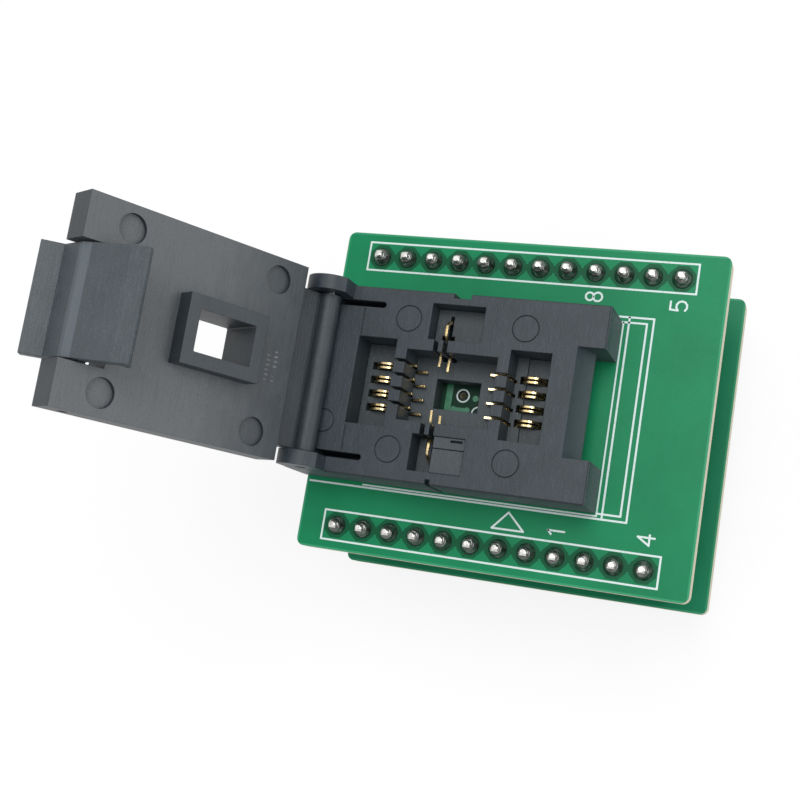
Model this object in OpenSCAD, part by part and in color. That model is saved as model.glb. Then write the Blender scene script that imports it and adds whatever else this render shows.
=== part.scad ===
// Test socket for a small leadless chip on a plug-in adapter: a clamshell socket with a hinged,
// latched lid on an upper board, whose two pin rows plug into a lower board with eight legs.
// Millimetres. Z = 0 is the seating plane of the eight legs, +Z up. +X runs from the lid's
// hinge towards its latch and +Y towards pin row 13 to 24. The lid is drawn wide open.

/* [Boards] */
// Length of both boards along X
board_l = 35.6; // [33:0.1:40]
// Width of both boards along Y
board_w = 29.9; // [28.6:0.1:34]
// Board thickness
board_t = 1.6; // [1:0.1:2]
// Board corner radius
board_r = 0.7; // [0.3:0.1:2]
// Shift of the boards along X from the middle of the pin rows
board_x = 0.2; // [-0.5:0.1:0.5]
// Shift of the lower board from the upper one
lower_shift = 0.3; // [0:0.05:0.4]

/* [Pin rows] */
// Pins in each row
row_pins = 12; // [12:1:12]
// Distance from pin to pin
pitch = 2.54; // [2.54:0.01:2.54]
// Distance between the two rows
row_gap = 25.4; // [25.4:0.01:25.4]
// Side of a square pin
pin_sq = 0.64; // [0.5:0.01:0.7]
// Length of a pin over the upper board
pin_over = 1.3; // [1:0.1:2]
// Length of a pin under its plastic strip
pin_under = 6; // [5:0.1:6.5]
// Height of the plastic pin strip
strip_h = 2.5; // [2.3:0.1:2.8]
// Height of the plastic socket strip
female_h = 8.5; // [8.3:0.1:9]
// Radius of a solder cone at a pin row
solder_r = 0.9; // [0.8:0.05:1]

/* [Legs] */
// Distance between the two rows of legs
leg_gap = 7.62; // [7.62:0.01:7.62]
// Legs in each row
leg_n = 4; // [4:1:4]
// Radius of a leg
leg_r = 0.25; // [0.2:0.01:0.3]
// Length of a leg under the seating plane
leg_l = 3.2; // [2.8:0.1:4]
// Height of the strip that holds the legs
leg_strip_h = 2.5; // [2.2:0.1:3]

/* [Socket base] */
// Left end of the socket base
base_x0 = -17.8; // [-18:0.1:-17.5]
// Right end of the socket base
base_x1 = 9.27; // [9:0.01:9.8]
// Width of the socket base
base_w = 17; // [16.8:0.1:18]
// Height of the socket base
base_h = 5.3; // [5.2:0.05:5.3]
// Middle of the chip nest along X
nest_x = -3.96; // [-4:0.01:-3.9]
// Length of the chip nest
nest_l = 8.3; // [8.1:0.05:8.4]
// Width of the chip nest
nest_w = 6.3; // [6.1:0.05:6.5]
// Height of the nest floor
nest_z = 1.95; // [1.8:0.05:2]
// Length of the window in the nest floor
eye_l = 4.1; // [3.8:0.1:4.2]
// Width of the window in the nest floor
eye_w = 2.7; // [2.5:0.1:2.8]
// Inner end of a side recess from the middle of the nest
side_r0 = 5.18; // [5.1:0.01:5.3]
// Outer end of a side recess from the middle of the nest
side_r1 = 8.79; // [8.7:0.01:9]
// Width of a side recess
side_w = 7.84; // [7.7:0.02:8]
// Floor of a side recess
side_z = 2.3; // [2.2:0.05:2.4]
// Width of the latch notch
notch_w = 9.5; // [9.4:0.05:9.8]
// Depth of the two edge notches
bite_d = 0.5; // [0.3:0.05:0.6]

/* [Hinge] */
// Hinge axis along X
hinge_x = -15.7; // [-15.8:0.05:-15.6]
// Hinge axis over the upper board
hinge_h = 6.3; // [6.25:0.05:6.5]
// Opening angle of the lid as drawn
lid_open = 119.7; // [0:0.1:119.7]
// Radius of the lid's hinge barrel
barrel_r = 0.95; // [0.9:0.01:0.95]
// Radius of the hinge pin
hinge_r = 0.5; // [0.4:0.01:0.55]
// Running clearance of the pins
run_gap = 0.05; // [0.03:0.01:0.08]
// Radius of the hinge lugs
lug_r = 2.2; // [2.1:0.05:2.2]
// Thickness of a hinge lug
lug_t = 1.3; // [1.2:0.05:1.4]

/* [Lid] */
// Length of the lid from the hinge axis
lid_l = 24.86; // [24.7:0.02:25]
// How far the lid stands over the socket base on each side
lid_over = 0.05; // [0:0.01:0.1]
// Inner face of the lid below the hinge axis when it is shut
lid_in = 0.93; // [0.9:0.01:0.95]
// Thickness of the lid
lid_t = 2.69; // [2.4:0.01:2.8]
// Start of the lid's plate from the hinge axis
plate_u = 3.55; // [3.4:0.05:3.6]
// Inner face of the web between plate and barrel, outwards of the hinge axis
web_v = 0.3; // [0:0.05:0.4]
// Middle of the pressing block from the hinge axis
block_u = 11.65; // [11.5:0.05:11.8]
// Length of the pressing block
block_l = 7.7; // [7.4:0.05:7.9]
// Width of the pressing block
block_w = 5.8; // [5.5:0.05:6]
// Height of the pressing block
block_h = 1.7; // [1.4:0.05:1.8]
// Length of the window in the lid
view_l = 5.5; // [5:0.05:5.7]
// Width of the window in the lid
view_w = 3.5; // [3.2:0.05:3.8]
// Inner end of the latch slot from the hinge axis
slot_u = 20.9; // [20.5:0.1:21]

/* [Latch] */
// Width of the latch
latch_w = 9.2; // [9:0.05:9.3]
// Latch pin from the hinge axis
latch_u = 22.9; // [22.8:0.05:22.9]
// Latch pin outwards of the hinge axis, square to the lid
latch_v = 0.55; // [0.5:0.05:0.6]
// Radius of the latch pin
latch_pin_r = 0.4; // [0.3:0.01:0.42]
// Lean of the latch as drawn, towards the hinge
latch_lean = 29.3; // [28:0.1:30]
// Radius of the latch's boss
latch_boss_r = 1.05; // [1:0.01:1.1]

/* [Contacts] */
// Distance from one side contact to the next
lead_pitch = 1.27; // [1.27:0.01:1.27]
// Side contacts on each side of the nest
lead_n = 4; // [4:1:4]
// Thickness of a contact leaf
leaf_t = 0.2; // [0.15:0.01:0.24]
// Height of a contact strip seen from its edge
leaf_h = 0.26; // [0.2:0.01:0.32]
// Distance between the two leaves of one contact
leaf_gap = 0.37; // [0.34:0.01:0.4]

/* [Hidden] */
fit = 0.03;
row_y = row_gap / 2;
row_l = row_pins * pitch - 0.04;
strip_w = 2.5;
z_low0 = leg_strip_h;
z_low1 = z_low0 + board_t;
z_mid = z_low1 + female_h;
z_up0 = z_mid + strip_h;
z_up1 = z_up0 + board_t;
hinge_z = z_up1 + hinge_h;
hole_r = pin_sq / 2 * sqrt(2) + 0.05;
leg_x = (leg_n - 1) * pitch / 2;
leg_y = leg_gap / 2;
leg_strip_l = leg_n * pitch - 0.04;
tail_r = 0.28;
tail_low = 1.3;
base_y = base_w / 2;
lid_w = base_w + 2 * lid_over;
side_m = (side_r0 + side_r1) / 2;
insert_r0 = 6.2;
insert_r1 = side_r1 - fit;
insert_w = side_w - 2 * fit;
slit_w = 0.66;
slit_z = 0.5;
end_x0 = -6.38;
end_x1 = -1.55;
end_y0 = 4.2;
end_y1 = 7.42;
prong_x = [-5.55, -4.7];
loop_x = -5;
loop_tail = 6.6;
eps = 0.02;
$fn = 48;

// Corner-joined outline of a strip of width w along the points p
function unit2(a) = a / norm(a);
function side2(a, b) = let (d = unit2(b - a)) [-d[1], d[0]];
function joint2(p, i, h) =
  i == 0 ? side2(p[0], p[1]) * h :
  i == len(p) - 1 ? side2(p[i - 1], p[i]) * h :
  let (a = side2(p[i - 1], p[i]), b = side2(p[i], p[i + 1]), m = unit2(a + b)) m * h / (m * a);
// The same points with each corner rounded off by a short curve
function curve2(a, b, c, t) = a * (1 - t) * (1 - t) + b * 2 * t * (1 - t) + c * t * t;
function cut2(a, b) = b + unit2(a - b) * min(0.3, norm(a - b) * 0.48);
function bent(p) = [p[0], for (i = [1 : len(p) - 2], t = [0 : 0.25 : 1])
  curve2(cut2(p[i - 1], p[i]), p[i], cut2(p[i + 1], p[i]), t), p[len(p) - 1]];
function ribbon(p, w) = concat(
  [for (i = [0 : len(p) - 1]) p[i] + joint2(p, i, w / 2)],
  [for (i = [len(p) - 1 : -1 : 0]) p[i] - joint2(p, i, w / 2)]);

module box(x0, x1, y0, y1, z0, z1) {
  translate([x0, y0, z0])
    cube([x1 - x0, y1 - y0, z1 - z0]);
}

// A plate with round corners, from z0 to z1
module slab(x0, x1, y0, y1, z0, z1, r) {
  translate([0, 0, z0])
    linear_extrude(z1 - z0)
      union() {
        translate([x0 + r, y0])
          square([x1 - x0 - 2 * r, y1 - y0]);
        translate([x0, y0 + r])
          square([x1 - x0, y1 - y0 - 2 * r]);
        for (x = [x0 + r, x1 - r], y = [y0 + r, y1 - r])
          translate([x, y])
            circle(r);
      }
}

module row_at() {
  for (i = [0 : row_pins - 1])
    translate([(i - (row_pins - 1) / 2) * pitch, 0, 0])
      children();
}

module leg_at() {
  for (i = [0 : leg_n - 1])
    translate([(i - (leg_n - 1) / 2) * pitch, 0, 0])
      children();
}

module lead_at() {
  for (i = [0 : lead_n - 1])
    translate([0, (i - (lead_n - 1) / 2) * lead_pitch, 0])
      children();
}

// Bodies drawn over the middle of the nest, turned half round for the left side
module nest_side(left) {
  translate([nest_x, 0, z_up1])
    rotate([0, 0, left ? 180 : 0])
      children();
}

// Where a drilled row of pins goes through a board
module row_holes(r, z0) {
  for (s = [-1, 1])
    translate([0, s * row_y, z0 - 1])
      row_at()
        cylinder(r = r, h = board_t + 2);
}

module lower_board() {
  color([0.05, 0.42, 0.22])
    difference() {
      slab(board_x + lower_shift - board_l / 2, board_x + lower_shift + board_l / 2,
        -board_w / 2 - lower_shift, board_w / 2 - lower_shift, z_low0, z_low1, board_r);
      row_holes(hole_r, z_low0);
      for (s = [-1, 1])
        translate([0, s * leg_y, z_low0 - 1])
          leg_at()
            cylinder(r = leg_r + 0.08, h = board_t + 2);
    }
}

module leg_strip(s) {
  color([0.06, 0.06, 0.065])
    difference() {
      box(-leg_strip_l / 2, leg_strip_l / 2, s * leg_y - 1.1, s * leg_y + 1.1, 0, z_low0);
      translate([0, s * leg_y, -1])
        leg_at()
          cylinder(r = leg_r + 0.02, h = leg_strip_h + 2);
      translate([0, s * leg_y, -1])
        leg_at()
          cylinder(r = 0.62, h = 1.6);
    }
}

module leg_strip_front() { leg_strip(-1); }
module leg_strip_back() { leg_strip(1); }

// Turned legs: a thin plug end, a collar in the strip and a tail through the lower board
module legs() {
  color([0.83, 0.69, 0.36])
    for (s = [-1, 1])
      translate([0, s * leg_y, 0])
        leg_at()
          rotate_extrude()
            polygon([[0, -leg_l], [leg_r - 0.1, -leg_l], [leg_r, -leg_l + 0.25], [leg_r, 0.05],
              [0.55, 0.1], [0.55, 0.55], [leg_r, 0.58], [leg_r, z_low1 + 0.7],
              [leg_r - 0.08, z_low1 + 0.85], [0, z_low1 + 0.85]]);
}

// Socket strip with one square cavity for each pin, open below and narrowed above
module socket_strip(s) {
  color([0.055, 0.055, 0.06])
    difference() {
      box(-row_l / 2, row_l / 2, s * row_y - strip_w / 2, s * row_y + strip_w / 2, z_low1, z_mid);
      translate([0, s * row_y, 0])
        row_at() {
          box(-0.75, 0.75, -0.75, 0.75, z_low1 - 1, z_mid - 1);
          box(-0.45, 0.45, -0.45, 0.45, z_mid - 1.5, z_mid + 1);
          box(-0.6, 0.6, -0.6, 0.6, z_mid - 0.25, z_mid + 1);
        }
      for (x = [-row_l / 4, row_l / 4])
        translate([x, s * row_y, z_low1 - 1])
          box(-1.27 - 0.4, -1.27 + 0.4, -2, 2, 0, 1.25);
    }
}

module socket_strip_front() { socket_strip(-1); }
module socket_strip_back() { socket_strip(1); }

// Square spring sleeves in the cavities, each with a tail through the lower board
module strip_contacts(s) {
  color([0.8, 0.66, 0.33])
    translate([0, s * row_y, 0])
      row_at() {
        difference() {
          box(-0.6, 0.6, -0.6, 0.6, z_low1 + 0.4, z_mid - 1.1);
          box(-pin_sq / 2 - 0.06, pin_sq / 2 + 0.06, -pin_sq / 2 - 0.06, pin_sq / 2 + 0.06,
            z_low1 + 1, z_mid);
          box(-1, 1, -0.12, 0.12, z_low1 + 1.6, z_mid - 1.8);
        }
        box(-0.3, 0.3, -0.15, 0.15, z_low0 - 1.2, z_low1 + 0.5);
      }
}

module strip_contacts_front() { strip_contacts(-1); }
module strip_contacts_back() { strip_contacts(1); }

// A solder cone that rises from z0 round a pin, with a gap for the pin itself
module cone(z0, r, inner, h) {
  translate([0, 0, z0])
    rotate_extrude()
      polygon([[inner, 0], [r, 0], [r * 0.8, h * 0.25], [r * 0.62, h * 0.6], [inner + 0.1, h],
        [inner, h]]);
}

module lower_solder() {
  color([0.62, 0.64, 0.66]) {
    for (s = [-1, 1])
      translate([0, s * row_y, z_low0])
        row_at()
          mirror([0, 0, 1])
            cone(0, solder_r, 0.35, 0.8);
    for (s = [-1, 1])
      translate([0, s * leg_y, 0])
        leg_at()
          cone(z_low1, 0.75, leg_r + 0.01, 0.6);
  }
}

module upper_board() {
  color([0.05, 0.42, 0.22])
    difference() {
      slab(board_x - board_l / 2, board_x + board_l / 2, -board_w / 2, board_w / 2,
        z_up0, z_up1, board_r);
      row_holes(hole_r, z_up0);
      tail_holes(tail_r, z_up0 - 1, board_t + 2);
      for (p = [[-11.6, -5.9], [6, 6.3]])
        translate([p[0], p[1], z_up0 - 1])
          cylinder(r = 0.75, h = board_t + 2);
      translate([-4, 0.4, z_up0 - 1])
        cylinder(r = 0.3, h = board_t + 2);
    }
}

module pin_strip(s) {
  color([0.055, 0.055, 0.06])
    difference() {
      box(-row_l / 2, row_l / 2, s * row_y - strip_w / 2, s * row_y + strip_w / 2, z_mid, z_up0);
      translate([0, s * row_y, z_mid - 1])
        row_at()
          box(-pin_sq / 2 - 0.01, pin_sq / 2 + 0.01, -pin_sq / 2 - 0.01, pin_sq / 2 + 0.01,
            0, strip_h + 2);
      for (i = [0 : row_pins], y = [-1, 1])
        translate([(i - row_pins / 2) * pitch, s * row_y + y * strip_w / 2, z_mid - 1])
          rotate([0, 0, 45])
            box(-0.3, 0.3, -0.3, 0.3, 0, strip_h + 2);
    }
}

module pin_strip_front() { pin_strip(-1); }
module pin_strip_back() { pin_strip(1); }

module row_pins(s) {
  color([0.8, 0.66, 0.33])
    translate([0, s * row_y, 0])
      row_at()
        intersection() {
          box(-pin_sq / 2, pin_sq / 2, -pin_sq / 2, pin_sq / 2, z_mid - pin_under,
            z_up1 + pin_over);
          translate([0, 0, z_mid - pin_under])
            rotate_extrude()
              polygon([[0, 0], [0.2, 0], [0.5, 0.5], [0.5, pin_under + strip_h + board_t
                + pin_over - 0.3], [0.22, pin_under + strip_h + board_t + pin_over],
                [0, pin_under + strip_h + board_t + pin_over]]);
        }
}

module row_pins_front() { row_pins(-1); }
module row_pins_back() { row_pins(1); }

module upper_solder() {
  color([0.3, 0.31, 0.32])
    for (s = [-1, 1])
      translate([0, s * row_y, 0])
        row_at()
          cone(z_up1, solder_r, hole_r - 0.03, 0.9);
}

// Inner leaves of the side contacts have their tails further out than the outer leaves
function tail_u(near) = near ? 8 : 7.1;

module tail_spots() {
  for (left = [true, false], near = [true, false])
    translate([nest_x, 0, 0])
      rotate([0, 0, left ? 180 : 0])
        lead_at()
          translate([tail_u(near), near ? leaf_gap / 2 : -leaf_gap / 2, 0])
            children();
  for (s = [-1, 1])
    translate([loop_x, s * loop_tail, 0])
      children();
}

module tail_holes(r, z0, h) {
  tail_spots()
    translate([0, 0, z0])
      cylinder(r = r, h = h);
}

module tail_solder() {
  color([0.62, 0.64, 0.66])
    tail_spots()
      translate([0, 0, z_up0])
        mirror([0, 0, 1])
          cone(0, 0.52, 0.2, 0.5);
}

// Socket base: nest, recesses for the contact inserts, latch notch and hinge lugs
module socket_base() {
  color([0.2, 0.22, 0.235])
    translate([0, 0, z_up1])
      difference() {
        union() {
          box(base_x0, base_x1, -base_y, base_y, 0, base_h - 0.3);
          box(base_x0 + 0.1, base_x1 - 0.1, -base_y + 0.1, base_y - 0.1, 0, base_h);
          for (s = [-1, 1])
            lug(s);
          for (p = [[-11.6, -5.9], [6, 6.3]])
            translate([p[0], p[1], -board_t - 0.3])
              cylinder(r = 0.7, h = board_t + 1);
        }
        // nest and its window
        box(nest_x - nest_l / 2, nest_x + nest_l / 2, -nest_w / 2, nest_w / 2, nest_z, 9);
        box(nest_x - eye_l / 2, nest_x + eye_l / 2, -eye_w / 2, eye_w / 2, -1, 9);
        // side recesses, with a shelf towards the nest and a through pocket for the insert
        for (a = [0, 180])
          translate([nest_x, 0, 0])
            rotate([0, 0, a]) {
              box(side_r0, side_r1, -side_w / 2, side_w / 2, side_z + 0.1, 9);
              box(insert_r0 - fit, side_r1, -side_w / 2, side_w / 2, -1, 9);
              // each contact has a tunnel under the wall, a slot over it for the far leaf,
              // one in the nest floor for the near leaf and one in the shelf for both
              lead_at() {
                box(4.1, side_r0 + 1.5, -slit_w / 2, slit_w / 2, slit_z, 1.7);
                box(4.1, 5.35, -slit_w / 2, -0.04, 1.6, 9);
                box(3.68, nest_l / 2, 0.04, slit_w / 2, slit_z, 9);
                box(5.6, side_r0 + 1.5, -slit_w / 2, slit_w / 2, slit_z, 9);
              }
            }
        // end recesses for the two centre contacts
        for (s = [-1, 1]) {
          box(end_x0, end_x1, s > 0 ? end_y0 : -end_y1, s > 0 ? end_y1 : -end_y0, -1, 9);
          for (x = prong_x)
            box(x - 0.22, x + 0.22, s > 0 ? 2.95 : -end_y0 - 1, s > 0 ? end_y0 + 1 : -2.95,
              slit_z, 9);
          box(-4.6, s > 0 ? -3 : -4.15, s > 0 ? base_y - bite_d : -base_y - 1,
            s > 0 ? base_y + 1 : -base_y + bite_d, -1, 9);
          box(-15.2, -10.97, s * 6.87 - 0.275, s * 6.87 + 0.275, 1.5, 9);
          translate([-10.97, s * 6.87, 1.5])
            cylinder(r = 0.275, h = 9);
          box(-12.72, -12.6, s * 5.25 - 1.15, s * 5.25 + 1.15, base_h - 0.12, 9);
        }
        // round ejector marks
        for (p = [[-8.4, 5.85], [-8.4, -5.85], [2.2, 5.85], [2.2, -5.85], [-14.85, -4]])
          translate([p[0], p[1], base_h])
            mirror([0, 0, 1])
              ring_mark(p[0] < -14 ? 1.05 : 1.2, 0.12);
        // latch notch with its ramp and catch ledge
        translate([0, notch_w / 2, 0])
          rotate([90, 0, 0])
            linear_extrude(notch_w)
              polygon([[6.88, 9], [6.88, base_h], [7.95, 2.62], [7.95, 2.3], [6.6, 2.3],
                [6.6, -1], [11, -1], [11, 9]]);
        // hinge pin bore
        translate([hinge_x, 12, hinge_h])
          rotate([90, 0, 0])
            cylinder(r = hinge_r + 0.01, h = 24);
      }
}

// A thin groove round a disc
module ring_mark(r, d) {
  difference() {
    translate([0, 0, -1])
      cylinder(r = r, h = d + 1);
    translate([0, 0, -2])
      cylinder(r = r - 0.08, h = d + 3);
  }
}

module lug(s) {
  y0 = s > 0 ? base_y - lug_t : -base_y;
  box(base_x0 + 0.1, hinge_x + 1.85, y0, y0 + lug_t, 0, hinge_h);
  intersection() {
    box(base_x0 + 0.1, hinge_x + 1.85, y0, y0 + lug_t, 1, hinge_h + 3);
    translate([hinge_x, y0, hinge_h])
      rotate([-90, 0, 0])
        cylinder(r = lug_r, h = lug_t);
  }
}

// Comb insert that holds four contacts, drawn for the right side
module side_insert(left) {
  color([0.17, 0.185, 0.2])
    nest_side(left)
      difference() {
        box(insert_r0, insert_r1, -insert_w / 2, insert_w / 2, 0.02, side_z);
        lead_at() {
          box(insert_r0 - 1, 8.2, -slit_w / 2, slit_w / 2, slit_z, 9);
          for (near = [true, false])
            translate([tail_u(near), near ? leaf_gap / 2 : -leaf_gap / 2, -1])
              cylinder(r = 0.19, h = 3);
        }
      }
}

module insert_left() { side_insert(true); }
module insert_right() { side_insert(false); }

// Block in an end recess that holds a centre contact
module end_insert(s, top) {
  color([0.17, 0.185, 0.2])
    translate([0, 0, z_up1])
      mirror([0, s > 0 ? 0 : 1, 0])
        difference() {
          union() {
            box(end_x0 + fit, end_x1 - fit, end_y0 + fit, end_y1 - fit, 0.02, top);
            if (s < 0)
              box(-4.4, end_x1 - fit, end_y0 + fit, end_y1 - fit, 0.02, 5.15);
          }
          box(loop_x - 0.16, loop_x + 0.16, 3, loop_tail + 0.19, slit_z, 9);
          for (x = prong_x)
            box(x - 0.16, x + 0.16, 3, 4.98, slit_z, 9);
          box(-5.75, -4.48, 4.6, 5, slit_z, 1.6);
          translate([loop_x, loop_tail, -1])
            cylinder(r = 0.19, h = 3);
          if (s < 0) {
            box(-4.9, end_x1 + 1, 5.22, 5.3, 4.9, 9);
            box(-2.9, -1.8, 4.42, 4.62, 4.6, 9);
          }
        }
}

module insert_back() { end_insert(1, 3.4); }
module insert_front() { end_insert(-1, 3); }

// One side leaf: tail, body in the insert, loop over the insert and tip in the nest
module side_leaf(near) {
  u = tail_u(near);
  path = near
    ? [[u, -board_t - tail_low], [u, 1.3], [7.85, 2], [7.3, 2.9], [6.3, 2.9], [6, 2.4],
        [5.85, 1.25], [5.5, 0.85], [4.5, 0.85], [4.05, 1.2], [3.9, 2.05], [3.6, 2.3], [2.9, 2.42]]
    : [[u, -board_t - tail_low], [u, 0.72], [7.85, 0.85], [8, 1.3], [7.85, 2], [7.3, 2.9],
        [6.3, 2.9], [6, 2.4], [5.85, 1.25], [5.5, 0.95], [5.15, 1.3], [4.95, 2.6], [4.7, 2.98],
        [3.75, 3.16]];
  translate([0, (near ? leaf_gap / 2 : -leaf_gap / 2) + leaf_t / 2, 0])
    rotate([90, 0, 0])
      linear_extrude(leaf_t)
        polygon(ribbon(bent(path), leaf_h));
}

module side_contacts(left, near) {
  color([0.86, 0.68, 0.28])
    nest_side(left)
      lead_at()
        side_leaf(near);
}

module contacts_left_near() { side_contacts(true, true); }
module contacts_left_far() { side_contacts(true, false); }
module contacts_right_near() { side_contacts(false, true); }
module contacts_right_far() { side_contacts(false, false); }

// Centre contact: one loop leaf, a cross bar and two prongs that reach into the nest
module centre_leaf(x, path) {
  translate([x - leaf_t / 2, 0, 0])
    rotate([90, 0, 90])
      linear_extrude(leaf_t)
        polygon(ribbon(bent(path), leaf_h));
}

module centre_contact(s) {
  deep = [[4.8, 1.3], [4.6, 0.95], [3.75, 0.95], [3.45, 1.4], [3.35, 2.7], [3, 3.3],
    [1.76, 3.42]];
  short = [[4.8, 1.3], [4.6, 0.95], [4, 0.95], [3.7, 1.4], [3.6, 2.7], [3.3, 3.3],
    [2.15, 3.42]];
  color([0.86, 0.68, 0.28])
    translate([0, 0, z_up1])
      mirror([0, s > 0 ? 0 : 1, 0]) {
        centre_leaf(loop_x, [[loop_tail, -board_t - tail_low], [loop_tail, 1.8], [6.4, 3],
          [5.95, 4.2], [5.6, 4.5], [4.75, 4.5], [4.5, 4.05], [4.6, 2.2], [4.8, 1.2],
          [4.8, 0.95]]);
        centre_leaf(prong_x[0], s > 0 ? short : deep);
        centre_leaf(prong_x[1], s > 0 ? deep : short);
        box(prong_x[0] - leaf_t / 2, prong_x[1] + leaf_t / 2, 4.67, 4.93, 0.95, 1.25);
      }
}

module contact_back() { centre_contact(1); }
module contact_front() { centre_contact(-1); }

module hinge_pin() {
  color([0.7, 0.71, 0.72])
    translate([hinge_x, base_y - 0.1, hinge_z])
      rotate([90, 0, 0])
        cylinder(r = hinge_r, h = base_w - 0.2);
}

// The lid's parts are drawn with the lid shut, from the hinge axis, and then swung open.
// Across the shut lid x is the distance from the hinge and z points up.
module lid_place() {
  translate([hinge_x, 0, hinge_z])
    rotate([0, -lid_open, 0])
      children();
}

module lid() {
  z0 = -lid_in;
  z1 = lid_t - lid_in;
  inner_y = base_y - lug_t - 0.15;
  color([0.2, 0.22, 0.235])
    lid_place()
      difference() {
        union() {
          box(plate_u, lid_l, -lid_w / 2, lid_w / 2, z0, z1);
          box(-0.1, plate_u + 0.2, -inner_y, inner_y, web_v, z1);
          translate([0, inner_y, 0])
            rotate([90, 0, 0])
              cylinder(r = barrel_r, h = 2 * inner_y);
          box(block_u - block_l / 2, block_u + block_l / 2, -block_w / 2, block_w / 2,
            z0 - block_h, z0 + 1);
          box(14.1, 14.7, lid_w / 2 - 1, lid_w / 2 + 0.12, z0 + 0.5, z0 + 1.1);
        }
        translate([0, 12, 0])
          rotate([90, 0, 0])
            cylinder(r = hinge_r + run_gap, h = 24);
        slab(block_u - view_l / 2, block_u + view_l / 2, -view_w / 2, view_w / 2, -5, 5, 0.12);
        for (u = [6.4, 20.8], s = [-1, 1])
          translate([u, s * 6.62, z0 - 1])
            cylinder(r = 1.22, h = 1.4);
        box(slot_u, lid_l + 1, -notch_w / 2, notch_w / 2, -5, 5);
        translate([latch_u, 12, latch_v])
          rotate([90, 0, 0])
            cylinder(r = latch_pin_r + run_gap, h = 24);
      }
}

// Latch frame: its origin is the latch pin, +x points out of the lid's end and -z runs down
// the arm when the latch stands upright on the shut lid.
module latch_place() {
  lid_place()
    translate([latch_u, 0, latch_v])
      rotate([0, latch_lean, 0])
        children();
}

module latch() {
  prof = [[1.35, 4.14], [0.39, 2.57], [1.63, 0.06], [1.55, -0.62], [1.55, -4.3], [1.42, -5.8],
    [1.1, -5.84], [-0.26, -5.05], [-0.26, -4.66], [0.42, -4.72], [0.42, -3.9], [0.3, -1.6],
    [-0.2, -1], [-0.75, -0.7], [-1.02, 0], [-1.0, 0.9], [-0.62, 2.3], [0.42, 4.6]];
  color([0.2, 0.22, 0.235])
    latch_place()
      difference() {
        translate([0, latch_w / 2, 0])
          rotate([90, 0, 0])
            linear_extrude(latch_w)
              polygon(prof);
        translate([0, 12, 0])
          rotate([90, 0, 0])
            cylinder(r = latch_pin_r + run_gap, h = 24);
        for (s = [-1, 1])
          translate([0, s * 2.3 + 0.9, 0])
            rotate([90, 0, 0])
              cylinder(r = 1.12, h = 1.8);
        for (s = [-1, 1])
          box(-3, 0, s * 2.3 - 0.9, s * 2.3 + 0.9, -1.3, 1.12);
      }
}

module latch_pin() {
  color([0.7, 0.71, 0.72])
    latch_place()
      translate([0, lid_w / 2 - 0.15, 0])
        rotate([90, 0, 0])
          cylinder(r = latch_pin_r, h = lid_w - 0.3);
}

// Two torsion springs round the latch pin, each with one end on the wall of the lid's slot
module latch_springs() {
  color([0.66, 0.67, 0.69])
    lid_place()
      translate([latch_u, 0, latch_v])
        for (s = [-1, 1])
          translate([0, s * 2.3, 0]) {
            translate([0, 0.65, 0])
              rotate([90, 0, 0])
                difference() {
                  cylinder(r = 0.84, h = 1.3);
                  translate([0, 0, -1])
                    cylinder(r = 0.56, h = 4);
                }
            translate([0, -s * 0.52, -0.7])
              rotate([0, -90, 0])
                cylinder(r = 0.12, h = latch_u - slot_u - 0.02, $fn = 24);
          }
}

lower_board();
leg_strip_front();
leg_strip_back();
legs();
socket_strip_front();
socket_strip_back();
strip_contacts_front();
strip_contacts_back();
lower_solder();
upper_board();
pin_strip_front();
pin_strip_back();
row_pins_front();
row_pins_back();
upper_solder();
socket_base();
insert_left();
insert_right();
insert_front();
insert_back();
contacts_left_near();
contacts_left_far();
contacts_right_near();
contacts_right_far();
contact_front();
contact_back();
tail_solder();
hinge_pin();
lid();
latch_springs();
latch_pin();
latch();
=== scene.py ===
import math
import random
import bpy
import bmesh
from mathutils import Matrix, Vector


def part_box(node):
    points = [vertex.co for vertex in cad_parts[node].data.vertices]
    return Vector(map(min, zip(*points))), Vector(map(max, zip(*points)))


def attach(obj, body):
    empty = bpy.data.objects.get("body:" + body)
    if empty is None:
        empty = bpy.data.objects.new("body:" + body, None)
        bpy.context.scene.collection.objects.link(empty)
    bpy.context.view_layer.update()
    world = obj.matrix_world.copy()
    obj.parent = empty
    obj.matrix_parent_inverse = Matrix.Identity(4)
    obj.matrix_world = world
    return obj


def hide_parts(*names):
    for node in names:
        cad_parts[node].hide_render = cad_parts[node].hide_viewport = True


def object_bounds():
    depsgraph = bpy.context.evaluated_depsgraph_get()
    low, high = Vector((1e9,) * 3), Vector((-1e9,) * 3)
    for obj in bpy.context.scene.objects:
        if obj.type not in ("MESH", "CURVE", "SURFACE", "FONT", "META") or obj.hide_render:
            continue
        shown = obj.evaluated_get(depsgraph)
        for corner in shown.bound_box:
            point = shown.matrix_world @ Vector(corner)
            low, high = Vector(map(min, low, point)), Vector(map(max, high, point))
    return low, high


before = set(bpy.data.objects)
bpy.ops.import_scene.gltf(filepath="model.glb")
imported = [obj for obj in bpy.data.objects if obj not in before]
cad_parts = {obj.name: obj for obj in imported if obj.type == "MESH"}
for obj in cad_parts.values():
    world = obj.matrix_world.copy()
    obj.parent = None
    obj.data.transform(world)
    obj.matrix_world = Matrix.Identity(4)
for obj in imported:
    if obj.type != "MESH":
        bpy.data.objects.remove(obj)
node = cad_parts
cad_box = [[float(v) for v in corner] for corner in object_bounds()]
mm = 0.001
pitch, row_y, row_pins = 2.54, 12.7, 12
hinge_x, hinge_z, lid_open = -15.7, 23, 119.7


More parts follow.
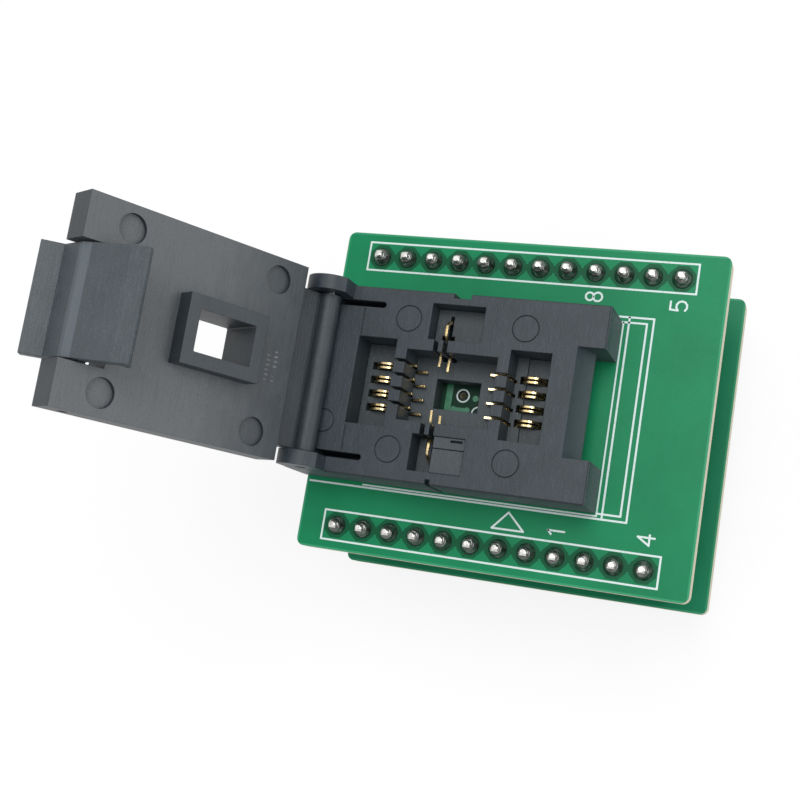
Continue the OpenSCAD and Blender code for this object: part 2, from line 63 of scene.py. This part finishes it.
# ---- Lower board -----------------------------------------------------------------------
# The carrier board: glass-fibre laminate, green solder mask on both faces and bare sawn
# edges. The socket strips stand on it and the eight legs are soldered through it.
class Wire:
    """A shader value. An operator on it adds the Math node that works it out."""

    def __init__(self, tree, socket):
        self.tree, self.socket = tree, socket

    def into(self, target):
        self.tree.links.new(self.socket, target)

    def math(self, operation, *values):
        made = self.tree.nodes.new("ShaderNodeMath")
        made.operation = operation
        for target, value in zip(made.inputs, values):
            if isinstance(value, Wire):
                value.into(target)
            else:
                target.default_value = value
        return Wire(self.tree, made.outputs[0])

    def __add__(self, other): return self.math("ADD", self, other)
    def __radd__(self, other): return self.math("ADD", other, self)
    def __sub__(self, other): return self.math("SUBTRACT", self, other)
    def __rsub__(self, other): return self.math("SUBTRACT", other, self)
    def __mul__(self, other): return self.math("MULTIPLY", self, other)
    def __rmul__(self, other): return self.math("MULTIPLY", other, self)
    def __truediv__(self, other): return self.math("DIVIDE", self, other)
    def __rtruediv__(self, other): return self.math("DIVIDE", other, self)
    def __pow__(self, other): return self.math("POWER", self, other)
    def __lt__(self, other): return self.math("LESS_THAN", self, other)
    def __gt__(self, other): return self.math("GREATER_THAN", self, other)
    def __and__(self, other): return self.math("MINIMUM", self, other)
    def __or__(self, other): return self.math("MAXIMUM", self, other)
    def __abs__(self): return self.math("ABSOLUTE", self)


class Finish:
    """A material on the Principled shader. Its unchanging values sit on the shader's sockets."""

    def __init__(self, name, **fixed):
        self.material = bpy.data.materials.new(name)
        self.material.use_nodes = True
        self.tree = self.material.node_tree
        self.shader = self.tree.nodes["Principled BSDF"]
        for socket, value in fixed.items():
            self.shader.inputs[socket.replace("_", " ")].default_value = value
        place = self.node("ShaderNodeTexCoord", out="Object")
        self.at = self.node("ShaderNodeVectorMath", {0: place, "Scale": 1000}, operation="SCALE")
        self.x, self.y, self.z = self.parts(self.at)

    def node(self, kind, values=None, out=0, stops=None, **settings):
        made = self.tree.nodes.new(kind)
        for key, value in settings.items():
            setattr(made, key, value)
        if stops:
            ramp = made.color_ramp
            while len(ramp.elements) < len(stops):
                ramp.elements.new(0.5)
            for element, (spot, shade) in zip(ramp.elements, stops):
                element.position = spot
                element.color = shade if isinstance(shade, tuple) else (shade, shade, shade, 1)
        for key, value in (values or {}).items():
            if isinstance(value, Wire):
                value.into(made.inputs[key])
            else:
                made.inputs[key].default_value = value
        return Wire(self.tree, made.outputs[out])

    def parts(self, vector):
        return [self.node("ShaderNodeSeparateXYZ", {0: vector}, out=i) for i in range(3)]

    def facing(self, axis):
        """How squarely a face looks along an axis: 1 when it faces that way or its opposite."""
        return abs(self.parts(self.node("ShaderNodeNewGeometry", out="True Normal"))[axis])

    def noise(self, scale, detail=2.0, rough=0.5, stretch=None):
        at = self.at
        if stretch:
            at = self.node("ShaderNodeVectorMath", {0: at, 1: stretch}, operation="MULTIPLY")
        values = {"Vector": at, "Scale": scale, "Detail": detail, "Roughness": rough}
        return self.node("ShaderNodeTexNoise", values)

    def between(self, value, low, high, to_low=0.0, to_high=1.0):
        values = {0: value, 1: low, 2: high, 3: to_low, 4: to_high}
        return self.node("ShaderNodeMapRange", values)

    def mix(self, share, first, second):
        return self.node("ShaderNodeMix", {0: share, 6: first, 7: second}, out=2, data_type="RGBA")

    def colour(self, wire):
        wire.into(self.shader.inputs["Base Color"])

    def gloss(self, wire):
        wire.into(self.shader.inputs["Roughness"])

    def relief(self, height, depth, edge=0.0):
        """Bump of a depth in mm, over edges that look rounded to a radius of edge mm."""
        values = {"Height": height, "Strength": 1.0, "Distance": depth * mm}
        if edge:
            values["Normal"] = self.node("ShaderNodeBevel", {"Radius": edge * mm}, samples=6)
        self.node("ShaderNodeBump", values).into(self.shader.inputs["Normal"])


def shade(tone, factor):
    return tuple(c * factor for c in tone[:3]) + (1,)


def dress(finish, *names):
    for name in names:
        node[name].data.materials.clear()
        node[name].data.materials.append(finish.material)


def board_finish(name, tone, nest, middle_x, middle_y):
    """Green mask over copper, with bare laminate on the sawn edges."""
    board = Finish(name, IOR=1.5, Specular_IOR_Level=0.14)
    cloud = board.noise(0.12, 3, 0.6)
    weave = board.noise(2.6, 2, 0.6)
    green = board.mix(board.between(cloud, 0.35, 0.65), tone, shade(tone, 0.86))
    # the copper pour is cut back round each pin of a row: a darker octagon with a neck between
    step = board.x / pitch + 20
    along = abs(step.math("FRACT", step) - 0.5) * pitch
    across = abs(abs(board.y) - row_y)
    octagon = along | across | ((along + across) * 0.7071)
    neck = (across < 0.34) & (abs(board.x) < 14)
    bare = ((octagon < 1.16) | neck) & (abs(board.x) < pitch * row_pins / 2)
    green = board.mix(bare, green, shade(tone, 0.42))
    if nest:
        # under the nest the mask is much darker, nearly black
        field = (abs(board.x + 4) < 4.2) & (abs(board.y) < 3.2)
        green = board.mix(field, green, (0.003, 0.03, 0.016, 1))
        off_x, off_y = board.x + 4, board.y - 0.4
        green = board.mix(off_x * off_x + off_y * off_y < 0.2, green, (0.004, 0.008, 0.006, 1))
    # painted highlight: a lighter line just inside the outline, where the board's edge catches the light
    inner = (abs(board.x - middle_x) > 17.62) | (abs(board.y - middle_y) > 14.77)
    green = board.mix(inner * 0.5, green, (0.06, 0.34, 0.18, 1))
    flat = board.facing(2)
    plies = board.noise(1.0, 3, 0.7, (0.5, 0.5, 9))
    ply = board.between(plies, 0.3, 0.7)
    sawn = board.mix(ply, (0.36, 0.34, 0.25, 1), (0.6, 0.56, 0.45, 1))
    board.colour(board.mix(flat > 0.6, sawn, green))
    board.gloss(board.between(weave, 0.2, 0.8, 0.3, 0.42) + (1 - flat) * 0.35)
    board.relief(weave * 0.6 + cloud * 0.4, 0.012, 0.05)
    return board


lower_mask = board_finish("lower_mask", (0.01, 0.2, 0.092, 1), False, 0.5, -0.3)
dress(lower_mask, "lower_board")

# ---- Legs and their strips -------------------------------------------------------------
# Two black moulded strips hold four turned legs each. The legs are gold-plated brass, and
# plug into a dual in-line socket.
black = Finish("strip_moulding", IOR=1.5)
grain = black.noise(3.5, 3, 0.6)
black.colour(black.mix(black.between(grain, 0.3, 0.7), (0.014, 0.014, 0.016, 1), (0.03, 0.03, 0.034, 1)))
black.gloss(black.between(grain, 0.25, 0.75, 0.42, 0.6))
black.relief(grain, 0.02, 0.08)
dress(black, "leg_strip_front", "leg_strip_back")

plating = Finish("gold_plating", Metallic=1.0)
wipe = plating.noise(1.6, 3, 0.6, (1, 1, 0.4))
plating.colour(plating.mix(plating.between(wipe, 0.3, 0.7), (0.76, 0.52, 0.2, 1), (0.93, 0.74, 0.36, 1)))
plating.gloss(plating.between(wipe, 0.25, 0.75, 0.16, 0.34))
plating.relief(wipe, 0.008, 0.05)
dress(plating, "legs")

# ---- Socket strips ---------------------------------------------------------------------
# A black socket strip for each pin row, with a sprung square sleeve in each cavity. The
# sleeves' tails go through the lower board.
dress(black, "socket_strip_front", "socket_strip_back")
dress(plating, "strip_contacts_front", "strip_contacts_back")

# ---- Solder under and over the lower board ---------------------------------------------
# Bright tin fillets round the sleeves' tails and the legs, with a film of flux on them.
tin = Finish("bright_solder", Metallic=1.0)
film = tin.noise(1.8, 3, 0.6)
tin.colour(tin.mix(tin.between(film, 0.3, 0.7), (0.34, 0.35, 0.34, 1), (0.66, 0.67, 0.66, 1)))
tin.gloss(tin.between(film, 0.25, 0.75, 0.16, 0.38))
tin.relief(film, 0.03, 0.05)
dress(tin, "lower_solder")

# ---- Upper board -----------------------------------------------------------------------
# The socket's own board, of the same laminate. White ink is printed on its mask: a frame
# round each pin row, the socket's outlines, a pin 1 mark and plain leg numbers.
upper_mask = board_finish("upper_mask", (0.007, 0.208, 0.086, 1), True, 0.2, 0)
dress(upper_mask, "upper_board")
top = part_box("upper_board")[1][2]

ink = Finish("white_ink", Roughness=0.6)
edge_wear = ink.noise(4, 3, 0.7)
ink.colour(ink.mix(ink.between(edge_wear, 0.28, 0.42), (0.3, 0.5, 0.42, 1), (0.6, 0.7, 0.69, 1)))
ink.relief(edge_wear, 0.01)


def finish_piece(name, bm, body, finish, slot, *stands_for, smooth=False):
    """Turns a bmesh, drawn in mm, into a piece that rides on a CAD body."""
    bmesh.ops.recalc_face_normals(bm, faces=bm.faces)
    bmesh.ops.scale(bm, vec=(mm, mm, mm), verts=bm.verts)
    mesh = bpy.data.meshes.new(name)
    bm.to_mesh(mesh)
    bm.free()
    for face in mesh.polygons:
        face.use_smooth = smooth
    mesh.materials.append(finish.material)
    piece = bpy.data.objects.new(name, mesh)
    bpy.context.collection.objects.link(piece)
    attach(piece, body)
    if stands_for:
        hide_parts(*stands_for)
    return piece


def softened(name, old, body, finish, slot, width, angle=40):
    """A copy of a CAD node with its sharp edges rounded off, in the node's place."""
    bm = bmesh.new()
    bm.from_mesh(node[old].data)
    bmesh.ops.remove_doubles(bm, verts=bm.verts, dist=0.002 * mm)
    bmesh.ops.scale(bm, vec=(1000, 1000, 1000), verts=bm.verts)
    piece = finish_piece(name, bm, body, finish, slot, old)
    round_off = piece.modifiers.new("round_off", "BEVEL")
    round_off.width = width * mm
    round_off.segments = 2
    round_off.limit_method = "ANGLE"
    round_off.angle_limit = math.radians(angle)
    return piece


def stroke(bm, points, wide, closed=False, high=0.02):
    """Lays a line of ink along points on the upper board, each run a hair higher than the last."""
    runs = list(zip(points, points[1:] + points[:1])) if closed else list(zip(points, points[1:]))
    for (x0, y0), (x1, y1) in runs:
        high += 0.0004
        long = math.hypot(x1 - x0, y1 - y0)
        turn = Matrix.Rotation(math.atan2(y1 - y0, x1 - x0), 4, "Z")
        place = Matrix.Translation(((x0 + x1) / 2, (y0 + y1) / 2, top / mm + high / 2))
        size = Matrix.Diagonal((long + wide * 0.7, wide, high, 1))
        bmesh.ops.create_cube(bm, size=1, matrix=place @ turn @ size)


def arc(x, y, r, start, end, steps=8):
    return [(x + r * math.cos(math.radians(start + (end - start) * i / steps)),
             y + r * math.sin(math.radians(start + (end - start) * i / steps))) for i in range(steps + 1)]


print_bm = bmesh.new()
for side in (1, -1):
    inner, outer = side * 11.4, side * 14.08
    frame_line = [(-15.27, inner), (15.3, inner), (15.3, outer), (-15.27, outer)]
    stroke(print_bm, frame_line, 0.17, True)
stroke(print_bm, [(9.0, 8.9), (12.04, 8.9), (12.04, -8.95), (-17.3, -8.95)], 0.17)
stroke(print_bm, [(9.0, 8.42), (11.47, 8.42), (11.47, -8.5), (9.4, -8.5)], 0.17)
stroke(print_bm, [(9.9, 8.9), (9.9, -8.95)], 0.17)
stroke(print_bm, [(9.42, 8.42), (9.42, -8.72), (-12.1, -8.72)], 0.14)
stroke(print_bm, [(1.79, -9.42), (0.45, -10.95), (3.3, -10.93)], 0.17, True)
digit_1 = [[(0, 1.45), (0, 0)], [(0, 1.45), (-0.32, 1.15)]]
digit_4 = [[(0.25, 0), (0.25, 1.45), (-0.4, 0.45), (0.5, 0.45)]]
digit_5 = [[(0.42, 1.45), (-0.3, 1.45), (-0.35, 0.85)] + arc(0.02, 0.47, 0.47, 140, -140)]
digit_8 = [arc(0, 1.08, 0.36, -90, 270, 12), arc(0, 0.37, 0.4, 90, 450, 12)]
for lines, x, y in (
    (digit_1, 6.9, -10.45),
    (digit_4, 14.6, -10.2),
    (digit_5, 14.7, 10.2),
    (digit_8, 7.2, 10.5),
):
    for line in lines:
        stroke(print_bm, [(x - v, y + u) for u, v in line], 0.17)
stroke(print_bm, arc(-4, 0.4, 0.56, 0, 360, 20), 0.13)
stroke(print_bm, arc(-2.35, -1.1, 0.62, 100, 185, 6), 0.13)
finish_piece("board_print", print_bm, "socket", ink, "board")

# Bare spots of the mask's lighter green show through the nest's window, where copper lies
# just under the mask.
land = Finish("copper_under_mask", Roughness=0.35, Coat_Weight=0.4)
tint = land.noise(1.5, 2, 0.6)
land.colour(land.mix(land.between(tint, 0.3, 0.7), (0.004, 0.13, 0.055, 1), (0.01, 0.19, 0.085, 1)))
land.relief(tint, 0.02)
land_bm = bmesh.new()
stroke(land_bm, [(-5.3, -1.3), (-5.3, 1.3)], 0.6, high=0.03)
stroke(land_bm, [(-4.75, -0.88), (-3.45, -0.88)], 0.36, high=0.03)
for x, y, r in ((-4.75, -0.88, 0.27), (-3.45, -0.88, 0.27), (-2.8, 0.25, 0.28)):
    disc = bmesh.ops.create_cone(land_bm, segments=24, radius1=r, radius2=r, depth=0.034, cap_ends=True)
    bmesh.ops.translate(land_bm, verts=disc["verts"], vec=(x, y, top / mm + 0.017))
finish_piece("window_lands", land_bm, "socket", land, "board")

# ---- Pin rows --------------------------------------------------------------------------
# Twelve square pins in a black strip on each side, pushed into the socket strips below and
# soldered on top, where the cut ends stand out.
dress(black, "pin_strip_front", "pin_strip_back")
pin_metal = Finish("tinned_pin", Metallic=1.0)
scuff = pin_metal.noise(2.2, 3, 0.6)
scuffed = pin_metal.between(scuff, 0.3, 0.7)
pin_metal.colour(pin_metal.mix(scuffed, (0.6, 0.58, 0.54, 1), (0.86, 0.85, 0.82, 1)))
pin_metal.gloss(pin_metal.between(scuff, 0.25, 0.75, 0.2, 0.4))
pin_metal.relief(scuff, 0.01, 0.06)
dress(pin_metal, "row_pins_front", "row_pins_back")

# ---- Solder round the pin rows ---------------------------------------------------------
# Each joint is a concave fillet that climbs its pin, coloured a dark grey metal. No two are
# quite the same height.
dark_tin = Finish("dark_solder", Metallic=0.85, Coat_Weight=0.6, Coat_Roughness=0.08)
dark_mottle = dark_tin.noise(1.9, 3, 0.6)
dark_tin.colour(dark_tin.mix(dark_tin.between(dark_mottle, 0.3, 0.7), (0.045, 0.05, 0.045, 1), (0.2, 0.21, 0.2, 1)))
dark_tin.gloss(dark_tin.between(dark_mottle, 0.25, 0.75, 0.14, 0.34))
dark_tin.relief(dark_mottle, 0.05)


def island_of(verts):
    """The vertices given and all that are joined to them by edges."""
    island = set(verts)
    todo = list(verts)
    while todo:
        for e in todo.pop().link_edges:
            for v in e.verts:
                if v not in island:
                    island.add(v)
                    todo.append(v)
    return list(island)


rng = random.Random(4)
joint_bm = bmesh.new()
for side in (-1, 1):
    for i in range(row_pins):
        tall, wide = rng.uniform(0.72, 0.9), rng.uniform(0.86, 0.9)
        profile = [(0.3, 0.003), (wide, 0.003), (wide * 0.96, 0.12), (wide * 0.86, 0.28)]
        profile += [(wide * 0.72, 0.5), (0.6, tall * 0.78), (0.5, tall), (0.3, tall + 0.02)]
        made = [joint_bm.verts.new((r, 0, z)) for r, z in profile]
        outline = made + [joint_bm.edges.new(pair) for pair in zip(made, made[1:])]
        bmesh.ops.spin(joint_bm, geom=outline, cent=(0, 0, 0), axis=(0, 0, 1), angle=math.tau,
                       steps=20, use_merge=True)
        lean = Matrix.Shear("XY", 4, (rng.uniform(-0.08, 0.08), rng.uniform(-0.08, 0.08)))
        place = Matrix.Translation(((i - (row_pins - 1) / 2) * pitch, side * row_y, top / mm))
        bmesh.ops.transform(joint_bm, matrix=place @ lean, verts=island_of(made))
finish_piece("row_solder", joint_bm, "socket", dark_tin, "solder", "upper_solder", smooth=True)

# ---- Socket base -----------------------------------------------------------------------
# One glass-filled moulding, dark grey, with the chip nest, the contact recesses, the latch
# notch and the two hinge lugs. Its pegs go through the upper board.
def moulded(name, dark, light, streak=None, painted_light_and_marks=None):
    """Glass-filled plastic: pale fibre flecks in a dark grey skin, satin, with soft edges."""
    skin = Finish(name, IOR=1.5)
    cloud = skin.noise(0.35, 3, 0.6)
    fleck = skin.noise(5.5, 3, 0.7)
    fibre = skin.noise(2.2, 3, 0.65, streak or (1, 0.35, 1))
    base = skin.mix(skin.between(cloud, 0.3, 0.7), dark, light)
    # the given function lays painted light over the skin's colour, and on the lid real scratches too
    if painted_light_and_marks:
        base = painted_light_and_marks(skin, base)
    base = skin.mix(skin.between(fleck, 0.54, 0.72) * 0.6, base, shade(light, 1.9))
    skin.colour(skin.mix(skin.between(fibre, 0.52, 0.72) * 0.45, base, shade(light, 1.5)))
    skin.gloss(skin.between(fleck, 0.3, 0.7, 0.42, 0.56))
    skin.relief(fleck * 0.5 + fibre * 0.5, 0.05, 0.1)
    return skin


def recess_floor_painted_light(skin, base):
    """Painted light: the recess floors, below the base's top, are painted paler against the shade they lie
    in.
    """
    return skin.mix(skin.between(skin.z, 21.6, 19.4), base, (0.042, 0.055, 0.064, 1))


base_dark, base_light = (0.012, 0.02, 0.027, 1), (0.019, 0.028, 0.037, 1)
base_skin = moulded("base_moulding", base_dark, base_light, painted_light_and_marks=recess_floor_painted_light)
dress(base_skin, "socket_base")

# ---- Contact inserts -------------------------------------------------------------------
# Four small blocks of the same plastic are pressed into the recesses, and their slots keep
# the contact leaves apart.
# the inserts are painted paler than the base: painted light against the shade of the recesses
insert_dark, insert_light = (0.026, 0.036, 0.043, 1), (0.036, 0.047, 0.055, 1)
insert_skin = moulded("insert_moulding", insert_dark, insert_light, (1, 1, 1))
dress(insert_skin, "insert_left", "insert_right", "insert_front", "insert_back")

# ---- Contacts --------------------------------------------------------------------------
# Stamped leaves of gold-plated spring alloy. Each loops over its insert and carries its tip
# into the nest; the tails are soldered under the board.
leaf = Finish("contact_gold", Metallic=1.0)
rub = leaf.noise(2.4, 3, 0.6)
leaf.colour(leaf.mix(leaf.between(rub, 0.3, 0.7), (0.82, 0.58, 0.24, 1), (1.0, 0.84, 0.5, 1)))
leaf.gloss(leaf.between(rub, 0.25, 0.75, 0.18, 0.34))
leaf.relief(rub, 0.01, 0.06)
for end in ("left", "right"):
    dress(leaf, f"contacts_{end}_near", f"contacts_{end}_far")
dress(leaf, "contact_front", "contact_back")
dress(tin, "tail_solder")

# ---- Hinge pin -------------------------------------------------------------------------
# A drawn steel pin, pressed through both lugs, on which the lid turns.
steel = Finish("drawn_steel", Metallic=1.0)
draw = steel.noise(3, 3, 0.6, (1, 0.08, 1))
steel.colour(steel.mix(steel.between(draw, 0.3, 0.7), (0.42, 0.43, 0.44, 1), (0.66, 0.67, 0.68, 1)))
steel.gloss(steel.between(draw, 0.25, 0.75, 0.22, 0.4))
steel.relief(draw, 0.01, 0.05)
dress(steel, "hinge_pin")

# ---- Lid -------------------------------------------------------------------------------
# The same grey moulding, with the pressing block and its window. Its inner face is combed
# with fine streaks along the hinge, and chips have rubbed a ladder of marks beside the block.
# Its colour holds a painted sheen: a little paler than the base, and paler still on the inner
# face away from the hinge.
def lid_place(skin):
    """Distance along the open lid from its hinge, and how far out of its inner face."""
    turn = math.radians(lid_open)
    x, z = skin.x - hinge_x, skin.z - hinge_z
    return x * math.cos(turn) + z * math.sin(turn), z * math.cos(turn) - x * math.sin(turn)


def lid_sheen_and_scratches(skin, base):
    """Painted sheen: the inner face is painted paler away from the hinge; handling has left a ladder of
    short scratches.
    """
    along, depth = lid_place(skin)
    at = skin.node("ShaderNodeVectorMath", {0: skin.at, 1: (1.6, 0.5, 1.6)}, operation="MULTIPLY")
    ridges = skin.node("ShaderNodeTexNoise", {"Vector": at, "Scale": 1.0, "Detail": 3})
    block = depth < -1.2
    # painted sheen on the inner face away from the hinge, left off the pressing block
    away = skin.between(along + ridges * 5, 6, 15) * (1 - block * 0.9) * (skin.facing(0) > 0.8)
    base = skin.mix(away, base, (0.082, 0.09, 0.097, 1))
    step = skin.y / 0.42 + 9
    rungs = (step.math("FRACT", step) < 0.34) & (skin.y > -2.4) & (skin.y < 0.8) & (depth < -0.8)
    column = ((along > 5.1) & (along < 5.45)) | ((along > 5.8) & (along < 6.2))
    scratched = (rungs & column) * skin.between(skin.noise(1.4), 0.4, 0.6) * 0.8
    return skin.mix(scratched, base, (0.17, 0.18, 0.19, 1))


# a little paler than the base's grey, as part of the lid's painted sheen
lid_dark, lid_light = (0.017, 0.024, 0.03, 1), (0.025, 0.033, 0.04, 1)
lid_skin = moulded("lid_moulding", lid_dark, lid_light, (3.2, 0.12, 3.2), lid_sheen_and_scratches)
softened("lid_moulding", "lid", "lid", lid_skin, "socket_plastic", 0.1)

# ---- Latch springs ---------------------------------------------------------------------
# Two torsion springs of round steel wire on the latch pin. One end of each lies on the wall
# of the lid's slot, and they swing the latch back.
turns, wire_r, coil_r, coil_half, leg_l = 5, 0.12, 0.7, 0.52, 1.95
lid_turn = Matrix.Rotation(math.radians(-lid_open), 4, "Y")
hinge = Vector((hinge_x, 0, hinge_z))
latch_at = Vector((22.9, 0, 0.55))
upright = Matrix.Rotation(math.pi / 2, 4, "Y")
spring_bm = bmesh.new()
for side in (-1, 1):
    wire_end = Matrix.Translation((0, -coil_half, -coil_r)) @ upright
    start = bmesh.ops.create_circle(spring_bm, segments=10, radius=wire_r, cap_ends=True,
                                    matrix=wire_end)["verts"]
    faces = list({f for v in start for f in v.link_faces})
    steps = turns * 20
    coil = bmesh.ops.spin(spring_bm, geom=start + faces, cent=(0, 0, 0), axis=(0, -1, 0),
                          dvec=(0, 2 * coil_half / steps, 0), angle=math.tau * (turns - 0.5), steps=steps)
    leg_at = Matrix.Translation((-leg_l / 2, -coil_half, -coil_r)) @ upright
    leg = bmesh.ops.create_cone(spring_bm, segments=10, radius1=wire_r, radius2=wire_r, depth=leg_l,
                                cap_ends=True, matrix=leg_at)["verts"]
    ends = [g for g in coil["geom_last"] if isinstance(g, bmesh.types.BMVert)]
    flip = Matrix.Diagonal((1, side, 1, 1))
    seat = Matrix.Translation(latch_at + Vector((0, side * 2.3, 0)))
    bmesh.ops.transform(spring_bm, matrix=Matrix.Translation(hinge) @ lid_turn @ seat @ flip,
                        verts=island_of(list(start) + list(leg) + ends))
finish_piece("latch_spring_coils", spring_bm, "lid", steel, "steel", "latch_springs", smooth=True)

# ---- Latch pin -------------------------------------------------------------------------
# A second pin of the same drawn steel, across the lid's slot. The latch turns on it, and the
# two springs sit round it.
dress(steel, "latch_pin")

# ---- Latch -----------------------------------------------------------------------------
# A wide moulded lever in the lid's end: thumb tab outside, arm and tooth inside.
def bend_highlight(skin, base):
    """Painted highlight: the bend between thumb tab and arm is painted as a paler strip, where it catches
    the light from above.
    """
    depth = lid_place(skin)[1]
    return skin.mix((depth < 0.25) & (depth > -0.85), base, (0.074, 0.09, 0.106, 1))


latch_dark, latch_light = (0.036, 0.046, 0.054, 1), (0.048, 0.059, 0.068, 1)
latch_skin = moulded("latch_moulding", latch_dark, latch_light, (2, 0.3, 2), bend_highlight)
softened("latch_moulding", "latch", "latch", latch_skin, "socket_plastic", 0.08)

# ---- Camera, floor and light -----------------------------------------------------------
# A pale floor under the legs, one wide soft light overhead, a weaker one that faces the open
# lid, and a white sky.
camera = bpy.data.objects.new("camera", bpy.data.cameras.new("camera"))
camera.data.lens = 59.4736
camera.data.sensor_width = 36
camera.data.clip_start = 0.005
right = Vector((0.93547, 0.16227, -0.31396))
up = Vector((-0.10399, 0.97541, 0.19431))
behind = Vector((0.33777, -0.14912, 0.92934))
camera_turn = Matrix((right, up, behind)).transposed().to_4x4()
camera.matrix_world = Matrix.Translation(Vector((30.844, -18.592, 128.797)) * mm) @ camera_turn
bpy.context.collection.objects.link(camera)
bpy.context.scene.camera = camera

floor_finish = Finish("floor_paper", Roughness=0.9)
fog = floor_finish.noise(0.01, 2, 0.5)
floor_finish.colour(floor_finish.mix(fog, (0.86, 0.86, 0.86, 1), (0.9, 0.9, 0.9, 1)))
camera_ray, glossy_ray, passing_ray = (
    floor_finish.node("ShaderNodeLightPath", out=f"Is {kind} Ray")
    for kind in ("Camera", "Glossy", "Transmission"))
seen = camera_ray | glossy_ray | passing_ray
glow = floor_finish.node("ShaderNodeEmission", {"Color": (1, 1, 1, 1), "Strength": 1.0})
paper = Wire(floor_finish.tree, floor_finish.shader.outputs[0])
shown = floor_finish.node("ShaderNodeMixShader", {0: seen * 0.82, 1: paper, 2: glow})
shown.into(floor_finish.tree.nodes["Material Output"].inputs["Surface"])
floor_bm = bmesh.new()
bmesh.ops.create_grid(floor_bm, x_segments=1, y_segments=1, size=2)
bmesh.ops.translate(floor_bm, verts=floor_bm.verts, vec=(0, 0, cad_box[0][2] - 0.00005))
floor_mesh = bpy.data.meshes.new("floor")
floor_bm.to_mesh(floor_mesh)
floor_bm.free()
floor_mesh.materials.append(floor_finish.material)
floor = bpy.data.objects.new("floor", floor_mesh)
bpy.context.collection.objects.link(floor)

world = bpy.data.worlds.new("sky")
bpy.context.scene.world = world
world.use_nodes = True
sky = world.node_tree
back = sky.nodes["Background"]
path = sky.nodes.new("ShaderNodeLightPath")
white = Wire(sky, path.outputs["Is Camera Ray"]) | Wire(sky, path.outputs["Is Transmission Ray"])
back.inputs["Color"].default_value = (1, 1, 1, 1)
(white * 0.22 + 0.78).into(back.inputs["Strength"])


def lamp(name, place, aim, size, power):
    light = bpy.data.lights.new(name, "AREA")
    light.shape = "DISK"
    light.size = size
    light.energy = power
    thing = bpy.data.objects.new(name, light)
    thing.location = place
    thing.rotation_euler = (Vector(aim) - Vector(place)).to_track_quat("-Z", "Y").to_euler()
    bpy.context.collection.objects.link(thing)


lamp("overhead_light", (0.07, 0.13, 0.48), (-0.005, 0, 0.015), 0.3, 1.15)
lamp("side_light", (0.46, -0.02, 0.16), (-0.02, 0, 0.03), 0.3, 0.6)
bpy.context.scene.view_settings.view_transform = "Standard"
